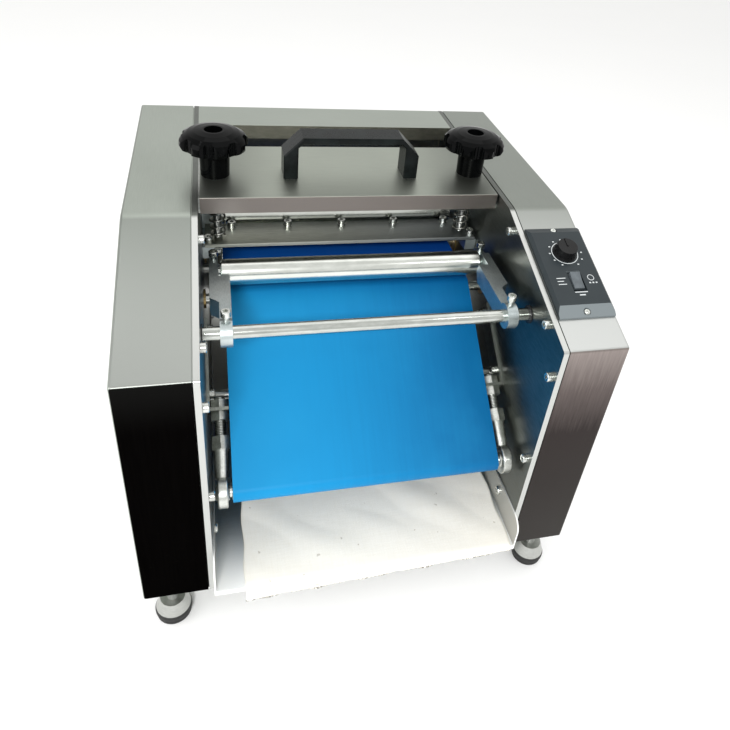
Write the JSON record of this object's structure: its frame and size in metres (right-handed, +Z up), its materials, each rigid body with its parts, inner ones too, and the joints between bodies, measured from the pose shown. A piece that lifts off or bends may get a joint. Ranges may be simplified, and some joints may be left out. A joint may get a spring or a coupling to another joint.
{
  "type": "dough sheeter",
  "caption": "Bench-top dough sheeter with two side casings, a sprung sheeting roller over a belt that slopes down to the front, a swinging press roller, hand knobs and a speed panel.",
  "frame": {"origin": "centre of the bounding box at the bottom of the rubber feet", "axes": "+X to the operator's right with the control panel, +Y from the front to the back, +Z up"},
  "size_m": [0.418, 0.4334, 0.405],
  "materials": {
    "brushed_stainless": "brushed",
    "bright_steel": "polished",
    "zinc_steel": "zinc plated",
    "arm_aluminium": "machined, clear anodised",
    "black_plastic": "glossy",
    "handle_plastic": "satin",
    "panel_plastic": "fine texture",
    "grey_plastic": "satin",
    "blue_belt": "smooth coated belt",
    "black_rubber": "matt",
    "canvas": "woven canvas",
    "bearing_bronze": "machined",
    "motor_grey": "painted"
  },
  "bodies": {
    "frame_body": {"side_plate_left": "brushed_stainless", "side_plate_right": "brushed_stainless", "casing_left": "brushed_stainless", "casing_right": "brushed_stainless", "rear_cover": "brushed_stainless", "base_tray": "brushed_stainless", "press_bridge": "brushed_stainless", "bridge_ledges": "zinc_steel", "ledge_bolts": "zinc_steel", "foot_studs": "zinc_steel", "foot_cones": "bright_steel", "foot_pads": "black_rubber", "bridge_handle": "handle_plastic", "handle_screws": "zinc_steel", "spring_left": "bright_steel", "spring_right": "bright_steel", "shaft_bearings": "bearing_bronze", "conveyor_belt": "blue_belt", "belt_bed": "brushed_stainless", "tie_bars": "bright_steel", "rod_end_left": "zinc_steel", "rod_end_right": "zinc_steel", "tension_stud_left": "zinc_steel", "tension_stud_right": "zinc_steel", "tension_bracket_left": "brushed_stainless", "tension_bracket_right": "brushed_stainless", "tension_nuts": "zinc_steel", "bracket_screws": "bright_steel", "pivot_rod": "bright_steel", "pivot_bushes": "black_plastic", "gear_motor": "motor_grey", "casing_screws": "bright_steel", "tray_screws": "bright_steel", "control_panel": "panel_plastic", "panel_screws": "bright_steel", "power_inlet": "black_plastic", "canvas_cloth": "canvas"},
    "carriage": {"carriage_tray": "brushed_stainless", "scraper": "brushed_stainless", "carriage_screws": "bright_steel", "knob_stud_left": "bright_steel", "knob_stud_right": "bright_steel", "bearing_block_left": "arm_aluminium", "bearing_block_right": "arm_aluminium"},
    "left_knob": {"knob_left": "black_plastic"},
    "right_knob": {"knob_right": "black_plastic"},
    "upper_roller_set": {"upper_roller": "bright_steel", "upper_gear": "zinc_steel"},
    "anvil_set": {"anvil_roller": "bright_steel", "anvil_gear": "zinc_steel"},
    "drive_roller_set": {"drive_roller": "bright_steel"},
    "support_roller_set": {"support_roller": "bright_steel"},
    "front_roller_set": {"front_roller": "bright_steel"},
    "press_arms": {"arm_left": "arm_aluminium", "arm_right": "arm_aluminium", "arm_screws": "bright_steel", "press_axle": "bright_steel"},
    "press_roller_set": {"press_roller": "bright_steel"},
    "dial": {"speed_dial": "black_plastic"},
    "rocker": {"rocker_switch": "grey_plastic"}
  },
  "joints": [
    {"name": "drive_spin", "type": "hinge", "parent": "frame_body", "child": "drive_roller_set", "pos_m": [0, 0.1397, 0.2405], "axis": [1, 0, 0], "continuous": true},
    {"name": "anvil_spin", "type": "hinge", "parent": "frame_body", "child": "anvil_set", "pos_m": [0, 0.0917, 0.2405], "axis": [1, 0, 0], "continuous": true},
    {"name": "support_spin", "type": "hinge", "parent": "frame_body", "child": "support_roller_set", "pos_m": [0, -0.0153, 0.2495], "axis": [1, 0, 0], "continuous": true},
    {"name": "front_spin", "type": "hinge", "parent": "frame_body", "child": "front_roller_set", "pos_m": [0, -0.1693, 0.146], "axis": [1, 0, 0], "continuous": true},
    {"name": "upper_spin", "type": "hinge", "parent": "carriage", "child": "upper_roller_set", "pos_m": [0, 0.0917, 0.2883], "axis": [1, 0, 0], "continuous": true},
    {"name": "knob_left_turn", "type": "hinge", "parent": "frame_body", "child": "left_knob", "pos_m": [-0.13, 0.0377, 0.36], "axis": [0, 0, 1], "range_deg": [-1440, 0]},
    {"name": "knob_right_turn", "type": "hinge", "parent": "frame_body", "child": "right_knob", "pos_m": [0.13, 0.0377, 0.36], "axis": [0, 0, 1], "range_deg": [-1440, 0]},
    {"name": "carriage_slide", "type": "slide", "parent": "frame_body", "child": "carriage", "axis": [0, 0, 1], "range_m": [0, 0.005], "deforming": ["spring_left", "spring_right"]},
    {"name": "press_arm_swing", "type": "hinge", "parent": "frame_body", "child": "press_arms", "pos_m": [0, -0.1279, 0.295], "axis": [1, 0, 0], "range_deg": [-7, 100]},
    {"name": "press_roller_spin", "type": "hinge", "parent": "press_arms", "child": "press_roller_set", "pos_m": [0, -0.0293, 0.2895], "axis": [1, 0, 0], "continuous": true},
    {"name": "speed_dial_turn", "type": "hinge", "parent": "frame_body", "child": "dial", "pos_m": [0.1806, -0.10379, 0.34541], "axis": [0, -0.3072, 0.9517], "range_deg": [-140, 140]},
    {"name": "rocker_tilt", "type": "hinge", "parent": "frame_body", "child": "rocker", "pos_m": [0.181, -0.13427, 0.33241], "axis": [1, 0, 0], "range_deg": [-12, 0]}
  ],
  "couplings": [
    {"joint": "anvil_spin", "follows": "drive_spin", "ratio": 1},
    {"joint": "support_spin", "follows": "drive_spin", "ratio": 1.8182},
    {"joint": "front_spin", "follows": "drive_spin", "ratio": 2.5},
    {"joint": "upper_spin", "follows": "drive_spin", "ratio": -1},
    {"joint": "knob_left_turn", "follows": "carriage_slide", "rad_per_m": -5026.5},
    {"joint": "knob_right_turn", "follows": "carriage_slide", "rad_per_m": -5026.5}
  ]
}
